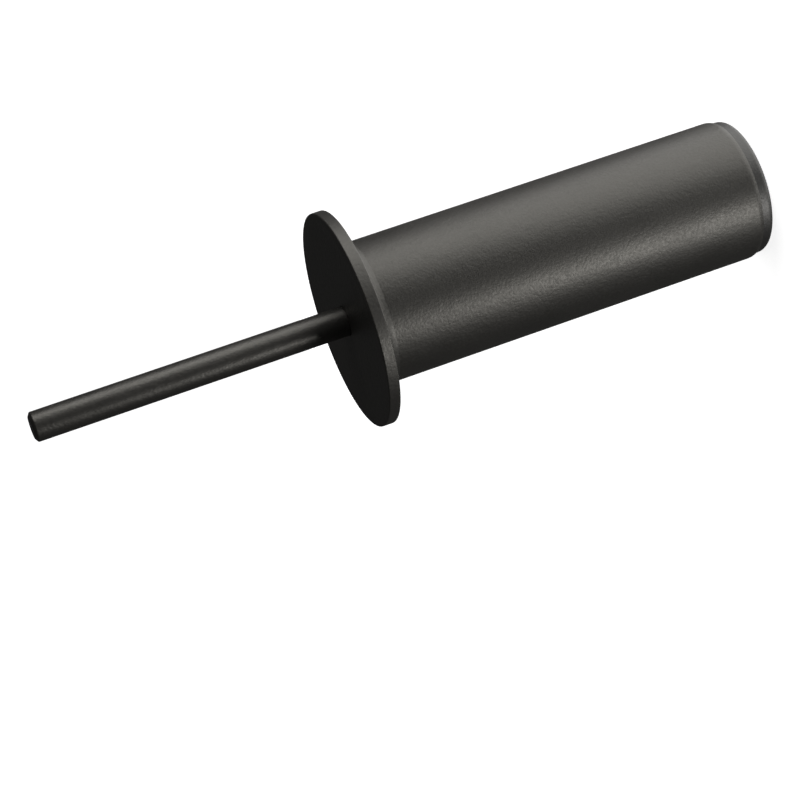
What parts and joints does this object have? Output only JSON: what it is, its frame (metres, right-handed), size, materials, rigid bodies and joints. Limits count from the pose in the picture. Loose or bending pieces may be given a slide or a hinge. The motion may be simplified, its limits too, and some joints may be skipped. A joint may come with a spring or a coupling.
{
  "type": "weight stack pin extender",
  "caption": "Steel selector pin on a round flange with a tubular plate-loading sleeve behind it, closed by a plastic end cap; adds loose plates to a weight stack.",
  "frame": {"origin": "centre of the end cap's flat end, which the extender stands on", "axes": "+Z along the common axis, from the end cap to the selector pin's tip; X and Y are free, as all is round"},
  "size_m": [0.0728, 0.0728, 0.2521],
  "materials": {
    "powder_coat": "satin black powder coat on steel",
    "cap_plastic": "moulded black plastic"
  },
  "bodies": {
    "root": {"selector_pin": "powder_coat", "flange_disc": "powder_coat", "loading_sleeve": "powder_coat", "sleeve_weld": "powder_coat", "pin_weld": "powder_coat", "end_cap": "cap_plastic"}
  },
  "joints": []
}
